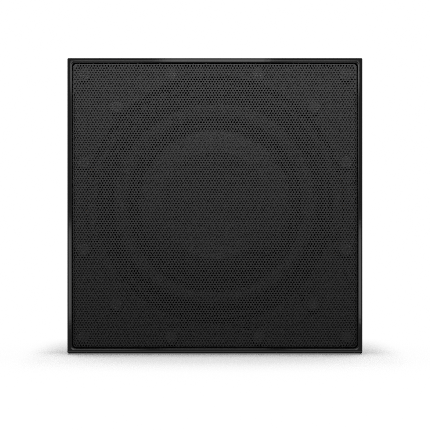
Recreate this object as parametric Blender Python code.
"""Powered subwoofer: a 12-inch driver in a 370 mm square cabinet with a flush steel grille.

The scene is in metres, +Z up, front towards -Y. The origin is the middle of the footprint, on
the floor. All sizes below are millimetres. A depth is measured behind the cabinet's front rim.
"""
import bpy
import bmesh
import math
from mathutils import Matrix

for old in list(bpy.data.objects):
    bpy.data.objects.remove(old, do_unlink=True)

MM = 0.001               # one millimetre in metres

# ---- driving dimensions, millimetres ----------------------------------------------------
WIDTH = 370.0            # cabinet, across and up
CABINET_DEPTH = 380.0    # front rim to back panel
TOTAL_DEPTH = 405.0      # front rim to the tips of the heat sink's fins
WALL = 18.0              # side walls, brace and rear panel
RIM = 5.8                # thickness of the front lip round the grille
LIP_DEPTH = 29.6         # how deep the lip's rebate is
GAP = 0.3                # clearance between neighbouring pieces

FOOT_PROUD = 1.5         # the recessed feet stand this far below the cabinet
FOOT_HEIGHT = 4.0
FOOT_RADIUS = 20.0

FASCIA_DEPTH = 8.0       # front of the moulded fascia
FASCIA_THICK = 3.0
WELL_RADIUS = 163.0      # round well the driver sits in

FLANGE_RADIUS = 162.2
FLANGE_DEPTH = 22.7
FLANGE_THICK = 5.2
SCREW_CIRCLE = 155.4     # pitch radius of the driver screws
SCREW_COUNT = 12
SCREW_HOLE_RADIUS = 3.1
CUTOUT_RADIUS = 143.0
TOP_PLATE_DEPTH = 94.0   # front of the motor
TERMINAL_X = -110.0      # tabs of the driver's terminal block
TERMINAL_Y = 7.0         # the tabs sit this far either side of the middle

PLATE_WIDTH, PLATE_HEIGHT, PLATE_THICK = 230.0, 290.0, 3.0
AMP_GASKET_BACK = CABINET_DEPTH + 1.5
PLATE_DEPTH = AMP_GASKET_BACK + GAP
PLATE_BACK = PLATE_DEPTH + PLATE_THICK
SOCKET_DEPTH = PLATE_BACK + GAP          # where the sockets and heat sink sit on the plate
BOARD_DEPTH = 348.0                      # front of the amplifier's circuit board
BOARD_THICK = 1.6

HALF_WIDTH = WIDTH / 2
AXIS_HEIGHT = FOOT_PROUD + HALF_WIDTH    # driver axis above the floor
FRONT_Y = -TOTAL_DEPTH / 2               # y of the front rim
HALF_INSIDE = HALF_WIDTH - WALL
HALF_REBATE = HALF_WIDTH - RIM

RING_SIDES, DIAPHRAGM_SIDES, MOTOR_SIDES = 48, 36, 32
SMOOTH = 40.0            # degrees; sharper edges stay sharp on the turned pieces

# Feet: name, x, depth
FEET = [
    ("front_left", -150.0, 40.0), ("front_right", 150.0, 40.0),
    ("rear_left", -150.0, 340.0), ("rear_right", 150.0, 340.0),
]


# ---- materials --------------------------------------------------------------------------
def material(name, colour, roughness, metallic=0.0, coat=0.0):
    made = bpy.data.materials.new(name)
    made.use_nodes = True
    inputs = made.node_tree.nodes["Principled BSDF"].inputs
    inputs["Base Color"].default_value = (*colour, 1.0)
    inputs["Roughness"].default_value = roughness
    inputs["Metallic"].default_value = metallic
    inputs["Coat Weight"].default_value = coat
    made.diffuse_color = (*colour, 1.0)
    return made


LACQUER = material("gloss_lacquer", colour=(0.006, 0.006, 0.006), roughness=0.08, coat=1.0)
POWDER = material("powder_coat", colour=(0.030, 0.030, 0.030), roughness=0.5)
ABS = material("satin_abs", colour=(0.022, 0.022, 0.022), roughness=0.5)
MDF = material("fibreboard", colour=(0.30, 0.20, 0.12), roughness=0.85)
RUBBER = material("rubber", colour=(0.015, 0.015, 0.015), roughness=0.6)
CAST = material("cast_black", colour=(0.020, 0.020, 0.021), roughness=0.45, metallic=0.3)
PISTON = material("piston_composite", colour=(0.026, 0.026, 0.027), roughness=0.38)
PULP = material("cone_pulp", colour=(0.020, 0.019, 0.018), roughness=0.8)
CLOTH = material("spider_cloth", colour=(0.55, 0.38, 0.12), roughness=0.9)
COPPER = material("copper_wire", colour=(0.75, 0.33, 0.16), roughness=0.35, metallic=1.0)
ALUMINIUM = material("former_aluminium", colour=(0.80, 0.81, 0.82), roughness=0.35, metallic=1.0)
STEEL = material("plated_steel", colour=(0.55, 0.55, 0.54), roughness=0.3, metallic=1.0)
FERRITE = material("ferrite", colour=(0.06, 0.06, 0.065), roughness=0.7)
BLACK_OXIDE = material("black_oxide", colour=(0.02, 0.02, 0.02), roughness=0.4, metallic=0.8)
PLATE_BLACK = material("plate_black", colour=(0.018, 0.018, 0.019), roughness=0.5, metallic=0.4)
FIN_BLACK = material("fin_black", colour=(0.016, 0.016, 0.017), roughness=0.45, metallic=0.6)
BOARD = material("circuit_board", colour=(0.02, 0.16, 0.07), roughness=0.5)
FOAM = material("gasket_foam", colour=(0.03, 0.03, 0.03), roughness=0.95)
WADDING = material("wadding", colour=(0.85, 0.85, 0.82), roughness=1.0)
ROCKER = material("rocker_black", colour=(0.02, 0.02, 0.02), roughness=0.3)
CABLE = material("cable_jacket", colour=(0.35, 0.03, 0.03), roughness=0.5)


# ---- outlines: lists of (x, y) ----------------------------------------------------------
def rect(x0, x1, y0, y1):
    return [(x0, y0), (x1, y0), (x1, y1), (x0, y1)]


def box(half_x, half_y, x=0.0, y=0.0):
    """A rectangle about a centre."""
    return rect(x - half_x, x + half_x, y - half_y, y + half_y)


def circle(radius, sides, x=0.0, y=0.0):
    angles = [2 * math.pi * k / sides for k in range(sides)]
    return [(x + radius * math.cos(a), y + radius * math.sin(a)) for a in angles]


def rounded(half_x, half_y, radius, steps=3, x=0.0, y=0.0):
    """A rectangle about a centre, with rounded corners."""
    points = []
    for side_x, side_y, start in ((1, 1, 0), (-1, 1, 90), (-1, -1, 180), (1, -1, 270)):
        for k in range(steps + 1):
            angle = math.radians(start + 90 * k / steps)
            points.append((x + side_x * (half_x - radius) + radius * math.cos(angle),
                           y + side_y * (half_y - radius) + radius * math.sin(angle)))
    return points


def square(half, radius, steps=3):
    return rounded(half, half, radius, steps)


def notched(radius, sides, half_notch, top, x, y):
    """A circle with a square notch out of its top, reaching height top above the centre."""
    ring = [p for p in circle(radius, sides) if p[1] <= 0 or abs(p[0]) >= half_notch + 0.4]
    ring.sort(key=lambda p: (math.atan2(p[1], p[0]) - math.pi / 2) % (2 * math.pi))
    foot = math.sqrt(radius * radius - half_notch * half_notch)
    ring = ([(-half_notch, top), (-half_notch, foot)] + ring
            + [(half_notch, foot), (half_notch, top)])
    return [(x + px, y + py) for px, py in ring]


# ---- meshes -----------------------------------------------------------------------------
def mesh_from(points, faces):
    """A mesh from points in millimetres, with its normals outward."""
    bm = bmesh.new()
    verts = [bm.verts.new([c * MM for c in point]) for point in points]
    for face in faces:
        bm.faces.new([verts[i] for i in face])
    bmesh.ops.recalc_face_normals(bm, faces=bm.faces)
    mesh = bpy.data.meshes.new("shape")
    bm.to_mesh(mesh)
    bm.free()
    return mesh


def revolve(profile, sides):
    """Closed profile of (radius, z) turned about local Z. Points on the axis are shared.

    A third value on a point is the depth of a flute at every second side.
    """
    verts, rows = [], []
    for radius, z, *flute in profile:
        start = len(verts)
        if radius < 1e-6:
            verts.append((0.0, 0.0, z))
            rows.append([start] * sides)
            continue
        rows.append(list(range(start, start + sides)))
        for k in range(sides):
            angle = 2 * math.pi * k / sides
            reach = radius - (flute[0] if flute and k % 2 else 0.0)
            verts.append((reach * math.cos(angle), reach * math.sin(angle), z))
    faces = []
    for row, following in zip(rows, rows[1:] + rows[:1]):
        for k in range(sides):
            j = (k + 1) % sides
            face = list(dict.fromkeys([row[k], row[j], following[j], following[k]]))
            if len(face) > 2:
                faces.append(face)
    return mesh_from(verts, faces)


def loft(sections):
    """A solid through (outline, z) sections with equal point counts, closed at both ends."""
    n = len(sections[0][0])
    verts = [(x, y, z) for outline, z in sections for x, y in outline]
    last = (len(sections) - 1) * n
    faces = []
    for a in range(0, last, n):
        b = a + n
        faces += [[a + i, a + (i + 1) % n, b + (i + 1) % n, b + i] for i in range(n)]
    faces += [list(range(n))[::-1], [last + i for i in range(n)]]
    return mesh_from(verts, faces)


def prism(outline, z0, z1):
    return loft([(outline, z0), (outline, z1)])


def rectangular_ring(outer, inner, z0, z1):
    """A flat ring between two four-point outlines."""
    verts = [(x, y, z) for z in (z0, z1) for outline in (outer, inner) for x, y in outline]
    faces = []
    for k in range(4):
        j = (k + 1) % 4
        faces += [[k, j, 4 + j, 4 + k], [8 + k, 8 + j, 12 + j, 12 + k],
                  [k, j, 8 + j, 8 + k], [4 + k, 4 + j, 12 + j, 12 + k]]
    return mesh_from(verts, faces)


# The next four take depths, for the front frame, where z = -depth.
def front_loft(sections):
    return loft([(outline, -depth) for outline, depth in sections])


def slab(outline, near, far):
    """A flat outline from depth near back to depth far."""
    return front_loft([(outline, far), (outline, near)])


def front_revolve(profile, sides):
    return revolve([(radius, -depth) for radius, depth in profile], sides)


def ring(inner, outer, near, far, sides):
    return front_revolve([(inner, near), (outer, near), (outer, far), (inner, far)], sides)


# ---- objects ----------------------------------------------------------------------------
def add_object(name, data, location=(0.0, 0.0, 0.0), parent=None):
    made = bpy.data.objects.new(name, data)
    bpy.context.scene.collection.objects.link(made)
    made.location = [c * MM for c in location]
    made.parent = parent
    return made


def place(name, data, surface, parent=None, location=(0.0, 0.0, 0.0), smooth=None):
    """A piece in its parent's frame. One mesh may serve several pieces."""
    piece = add_object(name, data, location, parent)
    if not data.materials:
        data.name = name
        data.materials.append(surface)
    if smooth:
        data.shade_smooth()
        data.set_sharp_from_angle(angle=math.radians(smooth))
    return piece


def boolean(piece, operation, label, shapes):
    """Adds an exact Boolean to a piece, with one hidden helper in the piece's own frame."""
    bm = bmesh.new()
    for shape in shapes:
        bm.from_mesh(shape)
    name = f"{piece.name}_{label}"
    mesh = bpy.data.meshes.new(name)
    bm.to_mesh(mesh)
    bm.free()
    helper = add_object(name, mesh, parent=piece.parent)
    helper.location = piece.location
    helper.hide_render = True
    helper.display_type = "WIRE"
    modifier = piece.modifiers.new(name, "BOOLEAN")
    modifier.operation = operation
    modifier.object = helper
    modifier.solver = "EXACT"


def cut(piece, label, *shapes):
    boolean(piece, "DIFFERENCE", label, shapes)


def fuse(piece, label, *shapes):
    boolean(piece, "UNION", label, shapes)


def wire(name, points, radius, surface):
    """A round wire through points in the front frame."""
    curve = bpy.data.curves.new(name, "CURVE")
    curve.dimensions = "3D"
    curve.resolution_u = 4
    curve.bevel_depth = radius * MM
    curve.bevel_resolution = 1
    curve.use_fill_caps = True
    spline = curve.splines.new("BEZIER")
    spline.bezier_points.add(len(points) - 1)
    for knot, point in zip(spline.bezier_points, points):
        knot.co = [c * MM for c in point]
        knot.handle_left_type = knot.handle_right_type = "AUTO"
    place(name, curve, surface, FACE)


def axis_frame(name, turn=0.0):
    """An empty on the driver's axis at the front rim, its local z level."""
    empty = add_object(name, None, (0.0, FRONT_Y, AXIS_HEIGHT))
    empty.rotation_euler = (math.radians(90), 0, math.radians(turn))
    return empty


# In the first two frames local z points out of the front, so z = -depth.
# In the rear frame local z points out of the back, so z = depth, and local x runs to world -X.
FACE = axis_frame("front_axis")
MOVING = axis_frame("piston_axis")
REAR = axis_frame("rear_axis", turn=180)


# ---- cabinet ----------------------------------------------------------------------------
def magnet_places():
    """Centres of the sixteen magnet cups: twelve round the edge and four on the diagonals."""
    edge, inner, diagonal = 164.6, 54.9, 124.0
    places = [(x, side * edge) for side in (1, -1) for x in (-edge, -inner, inner, edge)]
    places += [(side * edge, y) for side in (-1, 1) for y in (inner, -inner)]
    places += [(x, y) for x in (-diagonal, diagonal) for y in (-diagonal, diagonal)]
    return places


def screw_places():
    """Centres of the driver screws, the first half a pitch round from +x."""
    pitch = 360 / SCREW_COUNT
    angles = [math.radians(pitch / 2 + pitch * k) for k in range(SCREW_COUNT)]
    return [(SCREW_CIRCLE * math.cos(a), SCREW_CIRCLE * math.sin(a)) for a in angles]


def foot_pits():
    """Round recesses in the underside, wider and deeper than the feet in them."""
    radius = FOOT_RADIUS + 0.5
    depth_in = FOOT_HEIGHT - FOOT_PROUD + GAP
    upright = Matrix.Rotation(math.radians(-90), 4, "X")
    pits = []
    for _, x, depth in FEET:
        pit = prism(circle(radius, 20), -6.0, depth_in)
        pit.transform(Matrix.Translation((x * MM, -HALF_WIDTH * MM, -depth * MM)) @ upright)
        pits.append(pit)
    return pits


def build_shell():
    """Four lacquered walls in one tube, with a thin lip round the grille at the front."""
    edge, mid_edge = 1.5, 0.45       # the front edge is eased in two steps
    end = square(HALF_WIDTH - edge, 0.4, 2)
    body = square(HALF_WIDTH, 1.5, 2)
    shell = place("cabinet_shell", front_loft([
        (end, 0.0),
        (square(HALF_WIDTH - mid_edge, 1.2, 2), mid_edge),
        (body, edge),
        (body, CABINET_DEPTH - edge),
        (end, CABINET_DEPTH),
    ]), LACQUER, FACE)
    rebate = square(HALF_REBATE, 5.0, 4)
    cut(shell, "rebate", front_loft([
        (square(HALF_REBATE + 2.0, 6.4, 4), -1.0), (rebate, 1.0), (rebate, LIP_DEPTH)]))
    inside = box(HALF_INSIDE, HALF_INSIDE)
    cut(shell, "inside", slab(inside, LIP_DEPTH - 2, CABINET_DEPTH + 5))
    cut(shell, "feet", *foot_pits())


def build_fascia():
    """Moulding that covers the board, lines the driver's well and carries the magnet cups."""
    cup_radius, cup_front = 9.0, 3.2
    pocket_radius, pocket_floor = 7.3, 9.5
    skirt_back = 24.0
    fascia = place(
        "fascia",
        slab(square(HALF_REBATE - GAP, 4.7), FASCIA_DEPTH, FASCIA_DEPTH + FASCIA_THICK),
        ABS, FACE)
    fuse(fascia, "skirt", ring(
        WELL_RADIUS - 2, WELL_RADIUS + 2.5, FASCIA_DEPTH + 0.5, skirt_back, RING_SIDES))
    fuse(fascia, "cups", *[slab(circle(cup_radius, 12, x, y), cup_front, FASCIA_DEPTH + 1)
                           for x, y in magnet_places()])
    cut(fascia, "well", slab(circle(WELL_RADIUS, RING_SIDES), -2.0, 30.0))
    cut(fascia, "pockets", *[slab(circle(pocket_radius, 12, x, y), 0.0, pocket_floor)
                             for x, y in magnet_places()])


def build_baffle():
    """Two layers: the front one round the driver's well, the rear one behind its flange."""
    rear_layer_thick = 22.0
    outer = place(
        "baffle_front_layer",
        slab(square(HALF_REBATE - GAP, 4.7), FASCIA_DEPTH + FASCIA_THICK + GAP, LIP_DEPTH - GAP),
        MDF, FACE)
    cut(outer, "well", slab(circle(WELL_RADIUS + 3.4, RING_SIDES), 0.0, 60.0))

    rear_layer = LIP_DEPTH + GAP
    inner = place(
        "baffle_rear_layer", slab(inside_board(), rear_layer, rear_layer + rear_layer_thick),
        MDF, FACE)
    hole_range = (20.0, 60.0)        # depths
    cut(inner, "holes", slab(circle(CUTOUT_RADIUS, RING_SIDES), *hole_range),
        *[slab(circle(SCREW_HOLE_RADIUS, 8, x, y), *hole_range) for x, y in screw_places()])


def inside_board():
    """Outline of a board that fits between the walls."""
    return box(HALF_INSIDE - GAP, HALF_INSIDE - GAP)


def build_brace():
    brace_depth, half_window = 205.0, 125.0
    brace = place(
        "window_brace", slab(inside_board(), brace_depth, brace_depth + WALL), MDF, FACE)
    cut(brace, "window", slab(square(half_window, 30.0, 4), 190.0, 240.0))


def build_rear_panel():
    """Lacquered board with an opening smaller than the amplifier plate."""
    margin = 13.0                    # plate overlap round the opening
    panel = place(
        "rear_panel", slab(inside_board(), CABINET_DEPTH - WALL, CABINET_DEPTH), LACQUER, FACE)
    opening = rounded(PLATE_WIDTH / 2 - margin, PLATE_HEIGHT / 2 - margin, 6.0)
    cut(panel, "amp_opening", slab(opening, 350.0, 400.0))


def build_wadding():
    """Pad just under the top wall, between the baffle and the brace."""
    half_height = 12.5
    outline = rounded(140.0, half_height, 8.0, y=HALF_INSIDE - half_height - 1.0)
    place("wadding_pad", slab(outline, 58.0, 198.0), WADDING, FACE)


def build_feet():
    """Rubber feet, each let into its own recess."""
    foot = revolve([
        (0, 0), (FOOT_RADIUS - 1.0, 0), (FOOT_RADIUS, 1.0), (FOOT_RADIUS, FOOT_HEIGHT),
        (0, FOOT_HEIGHT)], 20)
    for label, x, depth in FEET:
        place("foot_" + label, foot, RUBBER, location=(x, FRONT_Y + depth, 0), smooth=SMOOTH)


# ---- grille -----------------------------------------------------------------------------
def build_grille():
    """Shallow sheet tray, its edge folded back."""
    sheet = 1.2
    face = 1.5                       # depth of the grille's face
    fold_end = 6.5                   # depth at which the folded edge ends
    edge = 0.8
    half = HALF_REBATE - 1.5         # leaves a gap all round inside the lip
    outline = square(half, 4.0)
    tray = place("grille_panel", front_loft([
        (square(half - edge, 3.2), face), (outline, face + edge), (outline, fold_end),
    ]), POWDER, FACE)
    cut(tray, "hollow", slab(square(half - sheet, 2.8), face + sheet, 20.0))


# ---- driver: fixed parts ----------------------------------------------------------------
# Basket section: (radius, depth), from the flange's outer edge back, in, and forward again.
BASKET = [
    (FLANGE_RADIUS, FLANGE_DEPTH), (FLANGE_RADIUS, FLANGE_DEPTH + FLANGE_THICK),
    (142.0, FLANGE_DEPTH + FLANGE_THICK), (139.0, 36.0), (100.0, 84.0),
    (98.0, TOP_PLATE_DEPTH - GAP), (58.0, TOP_PLATE_DEPTH - GAP), (58.0, 88.0),
    (81.6, 88.0), (81.6, 66.4), (90.0, 66.4), (90.0, 82.0), (96.5, 82.0), (135.5, 36.0),
    (131.0, 33.0), (131.0, 26.2), (150.0, 26.2), (150.0, FLANGE_DEPTH),
]
# Points of BASKET at the ends of the windows, on the outer and the inner face
OUTER_FRONT, OUTER_BACK, INNER_BACK, INNER_FRONT = 3, 4, 12, 13
BAY_STEPS, SPOKE_STEPS = 8, 3        # sides in a bay, and how many of them are spoke


def basket_mesh():
    """Cast frame: flange, six spokes with open windows between, seats for spider and motor."""
    count = len(BASKET)
    windows = ((OUTER_FRONT, OUTER_BACK), (INNER_BACK, INNER_FRONT))

    def is_open(k):
        return (k + 1) % BAY_STEPS >= SPOKE_STEPS

    def corner(i, k):
        return i * RING_SIDES + k % RING_SIDES

    def patch(i, j, k):
        return [corner(i, k), corner(i, k + 1), corner(j, k + 1), corner(j, k)]

    verts = []
    for radius, depth in BASKET:
        for k in range(RING_SIDES):
            angle = 2 * math.pi * (k + 0.5) / RING_SIDES + math.radians(90)
            verts.append((radius * math.cos(angle), radius * math.sin(angle), -depth))

    faces = []
    for i in range(count):
        j = (i + 1) % count
        faces += [patch(i, j, k) for k in range(RING_SIDES)
                  if not ((i, j) in windows and is_open(k))]
    # Walls of the windows: both ends, then the spoke on either side.
    for k in filter(is_open, range(RING_SIDES)):
        faces.append(patch(OUTER_FRONT, INNER_FRONT, k))
        faces.append(patch(OUTER_BACK, INNER_BACK, k))
        for neighbour, side in ((k - 1, k), (k + 1, k + 1)):
            if not is_open(neighbour):
                faces.append([corner(i, side) for i in (
                    OUTER_FRONT, OUTER_BACK, INNER_BACK, INNER_FRONT)])
    return mesh_from(verts, faces)


def build_basket():
    """The frame, its screws (socket cap heads sharing one mesh) and its gasket."""
    bore_depth, head_height = 3.0, 5.0   # counterbore below the flange's face; screw head
    basket = place("basket", basket_mesh(), CAST, FACE)
    cut(basket, "counterbores", *[
        slab(circle(5.5, 10, x, y), FLANGE_DEPTH - 4.0, FLANGE_DEPTH + bore_depth)
        for x, y in screw_places()])
    cut(basket, "screw_holes", *[
        slab(circle(SCREW_HOLE_RADIUS, 8, x, y), FLANGE_DEPTH - 3.5, FLANGE_DEPTH + 9.0)
        for x, y in screw_places()])
    gasket_front = FLANGE_DEPTH + FLANGE_THICK + GAP
    place("driver_gasket", ring(144.5, 152.0, gasket_front, LIP_DEPTH, DIAPHRAGM_SIDES),
          FOAM, FACE, smooth=SMOOTH)

    # Screw section: (radius, z), z = 0 at the top of the head.
    screw = revolve([
        (0, -2.5), (1.9, -2.5), (2.2, 0.0), (3.6, 0.0), (4.4, -0.8), (4.4, -head_height),
        (2.4, -head_height), (2.4, -26.0), (0, -26.0)], 10)
    head_top = FLANGE_DEPTH + bore_depth - GAP - head_height
    for k, (x, y) in enumerate(screw_places()):
        place(f"driver_screw_{k + 1:02d}", screw, BLACK_OXIDE, FACE,
              location=(x, y, -head_top), smooth=SMOOTH)


def build_motor():
    """Top plate, two ferrite rings, pole with back plate, and a boot over them."""
    plate_radius, plate_thick = 84.0, 8.0
    magnet_radius, magnet_thick = 88.0, 19.0
    vent_radius = 12.0
    depth = TOP_PLATE_DEPTH
    place("top_plate", ring(38.9, plate_radius, depth, depth + plate_thick, MOTOR_SIDES),
          STEEL, FACE, smooth=SMOOTH)
    depth += plate_thick + GAP
    for label in ("front", "rear"):
        place("ferrite_ring_" + label,
              ring(44.0, magnet_radius, depth, depth + magnet_thick, MOTOR_SIDES),
              FERRITE, FACE, smooth=SMOOTH)
        depth += magnet_thick + GAP
    # Sections: (radius, depth)
    pole = [
        (vent_radius, TOP_PLATE_DEPTH), (35.6, TOP_PLATE_DEPTH), (35.6, depth),
        (plate_radius, depth), (plate_radius, 148.0), (60.0, 152.0), (vent_radius, 152.0)]
    boot = [(88.9, 97.0), (91.9, 97.0), (91.9, 154.6), (62.0, 154.6), (62.0, 152.4), (88.9, 152.4)]
    place("pole_and_back_plate", front_revolve(pole, MOTOR_SIDES), STEEL, FACE, smooth=SMOOTH)
    place("magnet_boot", front_revolve(boot, MOTOR_SIDES), RUBBER, FACE, smooth=SMOOTH)


def build_terminals():
    block = place(
        "terminal_block", slab(rect(-113.4, -100.4, -13.0, 13.0), 86.0, 96.0), ABS, FACE)
    fuse(block, "tabs", *[slab(box(0.4, 3.1, TERMINAL_X, side * TERMINAL_Y), 95.0, 104.0)
                          for side in (-1, 1)])


# ---- driver: suspension and moving parts ------------------------------------------------
def surround_profile():
    """Half-roll between two flat lands, each with a V-shaped bead. (radius, depth)"""
    roll_radius = 119.0              # where the roll's crest is
    roll_height, under_height = 11.0, 9.6
    land, thick, bead = 24.7, 1.2, 1.8
    outer, inner = 149.0, 97.2

    def arc(height, angles):
        return [(roll_radius + height * math.cos(math.radians(a)),
                 land - height * math.sin(math.radians(a))) for a in angles]

    def bead_at(radius):
        return [(radius + bead, land), (radius, land - bead), (radius - bead, land)]

    top = [(outer, land), *bead_at(141.6), (roll_radius + roll_height, land)]
    top += arc(roll_height, (30, 60, 90, 120, 150))
    top += [(roll_radius - roll_height, land), *bead_at(102.3), (inner, land)]
    under = [(inner, land + thick), (roll_radius - under_height, land + thick)]
    under += arc(under_height, (140, 90, 40))
    under += [(roll_radius + under_height, land + thick), (outer, land + thick)]
    return top + under


def cap_profile():
    """The piston face: a shallow dish inside an outward-sloping collar. (radius, depth)"""
    ridge_radius, ridge, centre = 67.7, 17.0, 28.0
    thick = 1.0
    stations = (52.0, 34.0, 16.0)    # radii across the dish

    def dish(radius):
        return ridge + (centre - ridge) * (1 - (radius / ridge_radius) ** 2)

    face = [(96.4, 25.9), (93.8, 22.6), (90.0, 21.4), (ridge_radius, ridge)]
    face += [(radius, dish(radius)) for radius in stations] + [(0.0, centre)]
    rear = [(0.0, centre + thick)]
    rear += [(radius, dish(radius) + thick) for radius in reversed(stations)]
    rear += [(ridge_radius - 0.3, ridge + 1.3), (89.6, 22.5), (92.8, 23.6), (94.9, 25.9)]
    return face + rear


# Front face of the corrugated spider: (radius, depth)
SPIDER = [
    (89.4, 65.2), (81.0, 65.2), (76.0, 67.2), (71.0, 63.4), (66.0, 67.2),
    (61.0, 63.4), (56.0, 67.2), (51.0, 63.4), (46.0, 65.6), (37.2, 65.6),
]
SPIDER_THICK = 0.9

# Cone section: (radius, depth)
CONE = [
    (107.5, 26.2), (94.5, 26.2), (37.1, 54.5), (37.1, 60.5),
    (38.5, 60.5), (38.8, 55.6), (95.0, 27.4), (107.5, 27.4),
]

# Path of the tinsel lead on the +y side: (x, y, z) in the front frame
TINSEL_LEAD = [
    (-106.6, TERMINAL_Y, -85.2), (-103.5, TERMINAL_Y, -75.5), (-92.0, TERMINAL_Y, -60.5),
    (-68.0, 6.0, -53.0), (-47.0, 5.0, -56.5),
]


def build_suspension():
    place("surround", front_revolve(surround_profile(), DIAPHRAGM_SIDES), RUBBER, FACE,
          smooth=SMOOTH)
    spider = SPIDER + [(radius, depth + SPIDER_THICK) for radius, depth in reversed(SPIDER)]
    place("spider", front_revolve(spider, MOTOR_SIDES), CLOTH, FACE, smooth=SMOOTH)


def build_moving_parts():
    place("cone", front_revolve(CONE, DIAPHRAGM_SIDES), PULP, MOVING, smooth=SMOOTH)
    place("piston_cap", front_revolve(cap_profile(), DIAPHRAGM_SIDES), PISTON, MOVING, smooth=30)
    # Tubes: name, inner radius, outer radius, front depth, back depth, material
    for name, inner, outer, near, far, surface in (
            ("coil_former", 36.2, 36.8, 50.0, 118.0, ALUMINIUM),
            ("voice_coil", 37.1, 38.2, 81.0, 115.0, COPPER)):
        place(name, ring(inner, outer, near, far, MOTOR_SIDES), surface, MOVING, smooth=SMOOTH)
    for side, label in ((1, "positive"), (-1, "negative")):
        path = [(x, side * y, z) for x, y, z in TINSEL_LEAD]
        wire("tinsel_lead_" + label, path, 1.1, COPPER)


# ---- amplifier --------------------------------------------------------------------------
# Places in the rear frame: x to the viewer's right when facing the back, y up from the middle.
VOLUME, CROSSOVER, PHASE = (-62.0, 22.0), (0.0, 22.0), (62.0, 22.0)
MODE, FILTER = (-62.0, -14.0), (-30.0, -14.0)
TRIGGER = (2.0, -14.0)
RCA = (-50.0, -58.0)
XLR = (4.0, -62.0)
INLET = (70.0, -92.0)
SINK_HEIGHT = 96.0

RCA_SPACING = 17.0
ROCKER_Y, FUSE_Y = 20.2, -19.5       # rocker and fuse drawer, from the middle of the inlet
ROCKER_SWING = 14.0                  # degrees from off to on


def build_plate():
    """Back plate on a foam gasket, with four posts reaching in to the circuit board."""
    half_x, half_y = PLATE_WIDTH / 2, PLATE_HEIGHT / 2
    outer_inset, inner_inset = 2.0, 11.0     # gasket edges inside the plate's edge
    place("amp_gasket", rectangular_ring(
        box(half_x - outer_inset, half_y - outer_inset),
        box(half_x - inner_inset, half_y - inner_inset),
        CABINET_DEPTH + GAP, AMP_GASKET_BACK), FOAM, REAR)
    plate = place(
        "amp_plate", prism(rounded(half_x, half_y, 6.0), PLATE_DEPTH, PLATE_BACK),
        PLATE_BLACK, REAR)
    post_front = BOARD_DEPTH + BOARD_THICK + GAP
    fuse(plate, "posts", *[prism(circle(3.5, 8, x, y), post_front, PLATE_DEPTH + 1)
                           for x in (-90, 90) for y in (-112, 112)])
    openings = [circle(4.0, 12, *knob) for knob in (VOLUME, CROSSOVER, PHASE)]
    openings += [box(6.5, 2.6, *switch) for switch in (MODE, FILTER)]
    openings += [circle(3.4, 12, *TRIGGER), box(15, 6.5, *RCA)]
    openings += [notched(12.2, 16, 4.2, 14.8, *XLR), box(14.2, 29.6, *INLET)]
    cut(plate, "openings", *[prism(outline, PLATE_DEPTH - 5, PLATE_BACK + 5)
                             for outline in openings])


def build_heat_sink():
    """Extrusion with upright fins: a comb outline of (x, depth) run along its length."""
    fins, pitch, thick, half_length = 16, 12.4, 2.6, 40.0
    root = SOCKET_DEPTH + 4.0
    half = (fins - 1) * pitch / 2 + thick / 2
    teeth = []
    for k in reversed(range(fins)):
        x = (k - (fins - 1) / 2) * pitch
        left, right = x - thick / 2, x + thick / 2
        teeth += [(right, root), (right, TOTAL_DEPTH), (left, TOTAL_DEPTH), (left, root)]
    # The outermost roots lie on the straight sides of the base and are left out.
    comb = [(-half, SOCKET_DEPTH), (half, SOCKET_DEPTH)] + teeth[1:-1]
    sink = prism(comb, -half_length, half_length)
    # Swapping y and z stands the comb up but mirrors it, so the normals are flipped back.
    swap_yz = Matrix(((1, 0, 0), (0, 0, 1), (0, 1, 0))).to_4x4()
    sink.transform(Matrix.Translation((0, SINK_HEIGHT * MM, 0)) @ swap_yz)
    sink.flip_normals()
    place("heat_sink", sink, FIN_BLACK, REAR)


def build_electronics():
    """Circuit board, with the transformer and two capacitors on its front."""
    place("circuit_board", prism(box(95, 125), BOARD_DEPTH, BOARD_DEPTH + BOARD_THICK),
          BOARD, REAR)
    seat = BOARD_DEPTH - GAP
    place("power_transformer", prism(rounded(27, 24, 3, 2, x=45.0, y=40.0), 306.0, seat),
          FERRITE, REAR)
    radius, tip = 15.0, 302.5
    for side, label in ((-1, "left"), (1, "right")):
        capacitor = revolve(
            [(0, seat), (radius, seat), (radius, tip + 1.5), (radius - 1, tip), (0, tip)], 16)
        place("reservoir_capacitor_" + label, capacitor, ABS, REAR,
              location=(-30 + side * 19, 70, 0), smooth=SMOOTH)


def knob_profile(radius):
    """Shaft through the plate and a fluted cap. (radius, z, flute depth)"""
    shaft, cap_front, flute = 2.6, 386.4, 0.7
    return [
        (0.0, 377.0), (shaft, 377.0), (shaft, cap_front), (radius, cap_front, flute),
        (radius - 0.6, 396.8, flute), (radius - 2.0, 399.0, flute), (radius - 4.0, 399.6),
        (0.0, 399.0)]


def build_controls():
    """Three knobs with raised pointers, and two slide switches."""
    for name, (x, y), radius in (("volume_knob", VOLUME, 13.0),
                                 ("crossover_knob", CROSSOVER, 9.5),
                                 ("phase_knob", PHASE, 9.5)):
        knob = place(name, revolve(knob_profile(radius), 24), ABS, REAR, location=(x, y, 0))
        pointer = rect(-0.8, 0.8, radius * 0.35, radius - 1.6)
        fuse(knob, "pointer", prism(pointer, 397.5, 400.6))

    # The second slider stands off the middle of its slot.
    for name, (x, y), shift in (("mode_switch_slider", MODE, 0.0),
                                ("filter_switch_slider", FILTER, -2.5)):
        slider = place(name, prism(box(2.2, 2.1), 378.0, 388.6), ABS, REAR,
                       location=(x + shift, y, 0))
        fuse(slider, "tongue", prism(box(8.0, 4.0), 378.0, 380.8))


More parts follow.
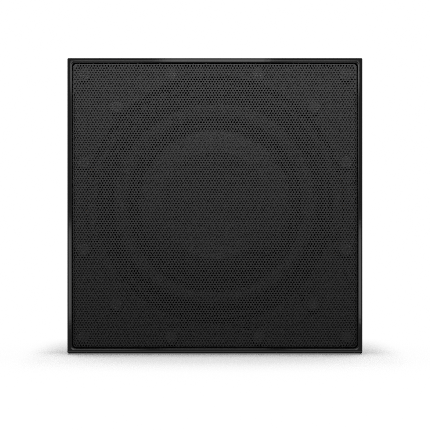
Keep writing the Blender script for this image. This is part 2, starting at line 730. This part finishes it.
def build_trigger_jack():
    bore, barrel, collar = 1.9, 3.1, 4.6     # radii
    front, back = 370.0, SOCKET_DEPTH + 2.5
    jack = revolve([
        (bore, front), (barrel, front), (barrel, SOCKET_DEPTH), (collar, SOCKET_DEPTH),
        (collar, back), (bore, back)], 12)
    place("trigger_jack", jack, STEEL, REAR, location=(*TRIGGER, 0), smooth=SMOOTH)


def build_rca():
    """Two sockets side by side in one housing."""
    centres = [side * RCA_SPACING / 2 for side in (-1, 1)]
    rca = place("rca_sockets", prism(box(17.5, 9.0), SOCKET_DEPTH, SOCKET_DEPTH + 2.0),
                ABS, REAR, location=(*RCA, 0))
    fuse(rca, "barrels", *[prism(circle(4.2, 14, x), 386.0, 396.0) for x in centres])
    fuse(rca, "body", prism(box(14.5, 6.0), 370.0, 386.0))
    cut(rca, "bores", *[prism(circle(1.7, 10, x), 386.5, 400.0) for x in centres])


def build_xlr():
    """Round socket with a core, three pin holes and a latch above."""
    mouth_radius, mouth_floor, mouth_end = 9.6, 372.0, 400.0
    pin_circle = 4.2
    latch_y = 12.4
    xlr = place("xlr_socket",
                prism(rounded(13.0, 15.5, 2.0, 2), SOCKET_DEPTH, SOCKET_DEPTH + 2.0),
                BLACK_OXIDE, REAR, location=(*XLR, 0))
    fuse(xlr, "barrel", prism(circle(11.6, 16), 366.0, 386.0))
    cut(xlr, "mouth", revolve([(0, mouth_floor), (mouth_radius, mouth_floor),
                               (mouth_radius, mouth_end), (0, mouth_end)], 16))
    fuse(xlr, "core", prism(circle(7.6, 16), 371.0, 386.6))
    angles = [math.radians(a) for a in (-30, 210, 90)]
    cut(xlr, "pin_holes", *[
        prism(circle(1.4, 8, pin_circle * math.cos(a), pin_circle * math.sin(a)), 378.0, 400.0)
        for a in angles])
    cut(xlr, "latch_slot", prism(box(3.6, 1.8, y=latch_y), 380.0, 400.0))
    place("xlr_latch", prism(rounded(3.1, 1.4, 0.6, 1, y=latch_y), 382.4, 389.4),
          STEEL, REAR, location=(*XLR, 0))


def build_inlet():
    """Mains module: rocker bay above, receptacle in the middle, fuse bay below."""
    pins = ((-7.0, -3.0), (7.0, -3.0), (0.0, 3.2))
    receptacle = [(-12, -9.0), (12, -9.0), (12, 2.0), (7.5, 8.5), (-7.5, 8.5), (-12, 2.0)]
    inlet = place("power_inlet",
                  prism(rounded(16.0, 32.0, 2.0, 2), SOCKET_DEPTH, SOCKET_DEPTH + 2.5),
                  ABS, REAR, location=(*INLET, 0))
    fuse(inlet, "body", prism(box(13.6, 29.0), 356.0, 386.0))
    cut(inlet, "rocker_bay", prism(box(10.2, 7.2, y=ROCKER_Y), 366.0, 400.0))
    cut(inlet, "receptacle", prism(receptacle, 369.0, 400.0))
    fuse(inlet, "pins", *[prism(box(1.0, 2.0, x, y), 368.0, 384.0) for x, y in pins])
    cut(inlet, "fuse_bay", prism(box(11.0, 6.0, y=FUSE_Y), 362.0, 400.0))


def build_rocker():
    """Switch rocker: a section of (y, z) about its pivot, tilted to one end of its swing."""
    section = [(-6.2, -2.0), (-6.4, 4.4), (0.0, 2.6), (6.4, 4.4), (6.2, -2.0), (0.0, -7.0)]
    half_length, pivot_depth = 9.2, 384.5
    tilt = math.radians(ROCKER_SWING / 2)
    tilted = [(y * math.cos(tilt) - z * math.sin(tilt), y * math.sin(tilt) + z * math.cos(tilt))
              for y, z in section]
    rocker = prism(tilted, -half_length, half_length)
    # Turns the prism's length from z to x, and its section from x, y to y, z.
    rocker.transform(Matrix(((0, 0, 1), (1, 0, 0), (0, 1, 0))).to_4x4())
    place("power_rocker", rocker, ROCKER, REAR,
          location=(INLET[0], INLET[1] + ROCKER_Y, pivot_depth))


def build_fuse_drawer():
    drawer = place("fuse_drawer", prism(box(10.4, 5.4, y=FUSE_Y), 363.5, 387.4), ABS, REAR,
                   location=(*INLET, 0))
    fuse(drawer, "pull", prism(rect(-7.0, 7.0, -18.0, -15.4), 386.0, 389.2))
    cut(drawer, "fuse_tray", prism(rect(-9.0, 9.0, -26.0, -17.0), 365.5, 384.0))


# Speaker cable, from a terminal tab back to the circuit board: (x, y, z) in the front frame
SPEAKER_CABLE = [
    (TERMINAL_X, -TERMINAL_Y, -106.5), (-118.0, -10.0, -135.0), (-112.0, -20.0, -215.0),
    (-90.0, -32.0, -300.0), (-72.0, -36.0, -345.5),
]

# Cabinet
build_shell()
build_fascia()
build_baffle()
build_brace()
build_rear_panel()
build_wadding()
build_feet()
build_grille()

# Driver
build_basket()
build_motor()
build_terminals()
build_suspension()
build_moving_parts()

# Amplifier
build_plate()
build_heat_sink()
build_electronics()
build_controls()
build_trigger_jack()
build_rca()
build_xlr()
build_inlet()
build_rocker()
build_fuse_drawer()
wire("speaker_cable", SPEAKER_CABLE, 2.4, CABLE)
bpy.context.view_layer.update()
